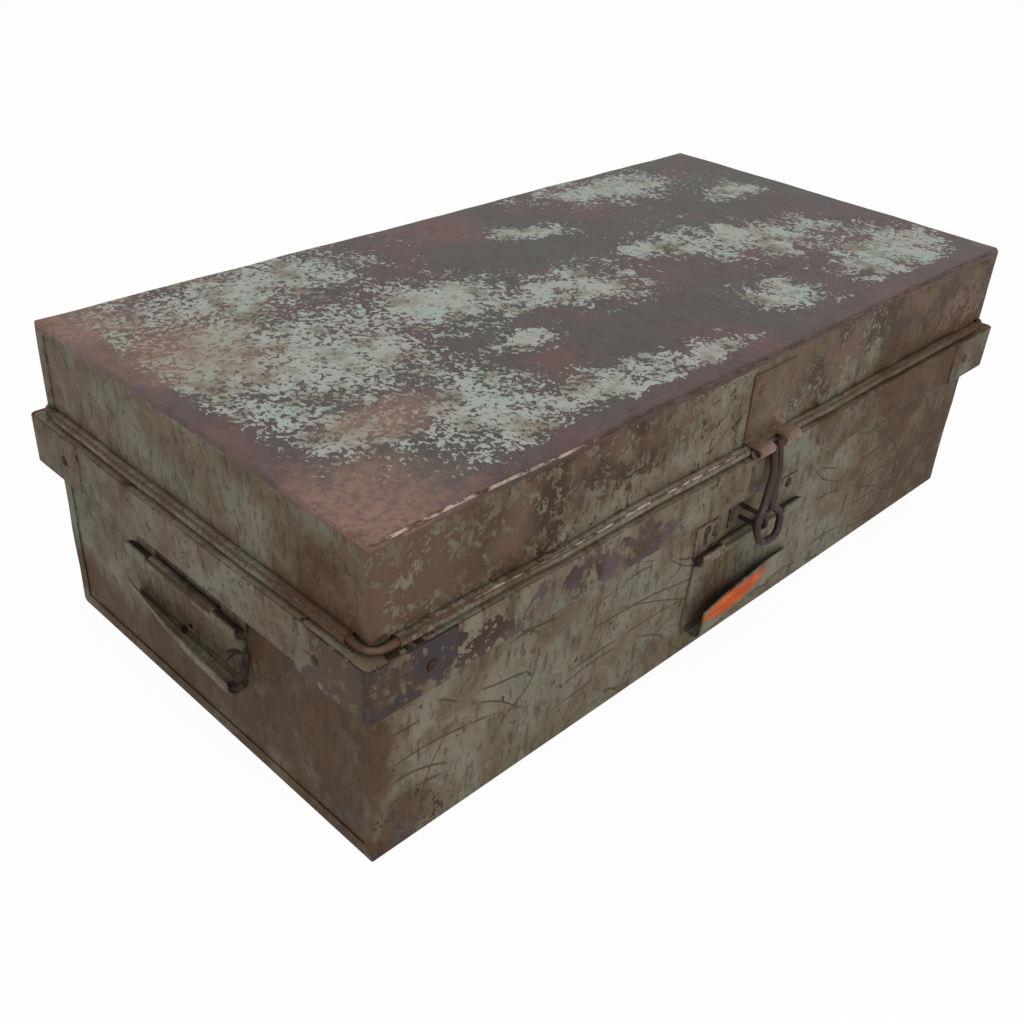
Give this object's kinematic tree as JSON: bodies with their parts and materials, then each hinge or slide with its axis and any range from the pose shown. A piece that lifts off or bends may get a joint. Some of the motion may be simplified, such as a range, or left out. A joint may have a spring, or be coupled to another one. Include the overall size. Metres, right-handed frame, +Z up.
{
  "type": "toolbox with tray",
  "caption": "Long worn sheet-steel toolbox with a deep wire-edged lid, a bent-wire hasp over a staple, drop handles with curled grips and a lift-out tray.",
  "frame": {"origin": "middle of the underside, on the surface that the box stands on", "axes": "+X along the box to the right as seen from the hasp side, +Y to the hinged back, +Z up"},
  "size_m": [0.6394, 0.3455, 0.205],
  "materials": {
    "body_paint": "worn matt paint",
    "lid_paint": "flaking matt paint",
    "collar_paint": "worn matt paint",
    "strap_paint": "worn to bare metal",
    "handle_paint": "worn matt paint",
    "inside_paint": "matt paint",
    "tray_paint": "scuffed matt paint",
    "wire_steel": "dull and rusty",
    "rivet_steel": "dull and rusty"
  },
  "bodies": {
    "box": {"body_wrapper": "body_paint", "body_left_end": "body_paint", "body_right_end": "body_paint", "rim_band_front": "collar_paint", "rim_upstand_front": "inside_paint", "rim_band_back": "collar_paint", "rim_upstand_back": "inside_paint", "rim_band_left": "collar_paint", "rim_upstand_left": "inside_paint", "rim_band_right": "collar_paint", "rim_upstand_right": "inside_paint", "corner_strap_front_left": "strap_paint", "corner_strap_front_right": "strap_paint", "corner_strap_back_left": "strap_paint", "corner_strap_back_right": "strap_paint", "corner_strap_rivets": "rivet_steel", "hinge_rivets": "rivet_steel", "hinge_strap_left": "strap_paint", "hinge_strap_middle": "strap_paint", "hinge_strap_right": "strap_paint", "staple_plate": "strap_paint", "staple": "wire_steel", "front_handle_clip_a": "strap_paint", "front_handle_clip_b": "strap_paint", "front_handle_rivets": "rivet_steel", "left_handle_clip_a": "strap_paint", "left_handle_clip_b": "strap_paint", "left_handle_rivets": "rivet_steel", "right_handle_clip_a": "strap_paint", "right_handle_clip_b": "strap_paint", "right_handle_rivets": "rivet_steel", "tray_ledge_left": "inside_paint", "tray_ledge_right": "inside_paint"},
    "lid": {"lid_wrapper": "lid_paint", "lid_left_end": "lid_paint", "lid_right_end": "lid_paint", "lid_edge_wire": "wire_steel", "hasp_strap": "strap_paint", "hasp_strap_rivets": "rivet_steel"},
    "hasp": {"hasp": "wire_steel"},
    "front_handle": {"front_handle_flap": "handle_paint", "front_handle_pin": "wire_steel"},
    "left_handle": {"left_handle_flap": "handle_paint", "left_handle_pin": "wire_steel"},
    "right_handle": {"right_handle_flap": "handle_paint", "right_handle_pin": "wire_steel"},
    "tray": {"tray_pan": "tray_paint", "tray_partition": "tray_paint", "tray_cross_front": "tray_paint", "tray_cross_back": "tray_paint"}
  },
  "joints": [
    {"name": "lid_hinge", "type": "hinge", "parent": "box", "child": "lid", "pos_m": [0, 0.1568, 0.1459], "axis": [-1, 0, 0], "range_deg": [0, 130]},
    {"name": "hasp_swing", "type": "hinge", "parent": "lid", "child": "hasp", "pos_m": [0, -0.1654, 0.1475], "axis": [-1, 0, 0], "range_deg": [-11.5, 160]},
    {"name": "front_handle_swing", "type": "hinge", "parent": "box", "child": "front_handle", "pos_m": [0.01, -0.1576, 0.079], "axis": [-1, 0, 0], "range_deg": [0, 100]},
    {"name": "left_handle_swing", "type": "hinge", "parent": "box", "child": "left_handle", "pos_m": [-0.3076, 0.0095, 0.092], "axis": [0, 1, 0], "range_deg": [0, 100]},
    {"name": "right_handle_swing", "type": "hinge", "parent": "box", "child": "right_handle", "pos_m": [0.3076, 0.0095, 0.092], "axis": [0, -1, 0], "range_deg": [0, 100]},
    {"name": "tray_lift", "type": "slide", "parent": "box", "child": "tray", "axis": [0, 0, 1], "range_m": [0, 0.046]}
  ]
}
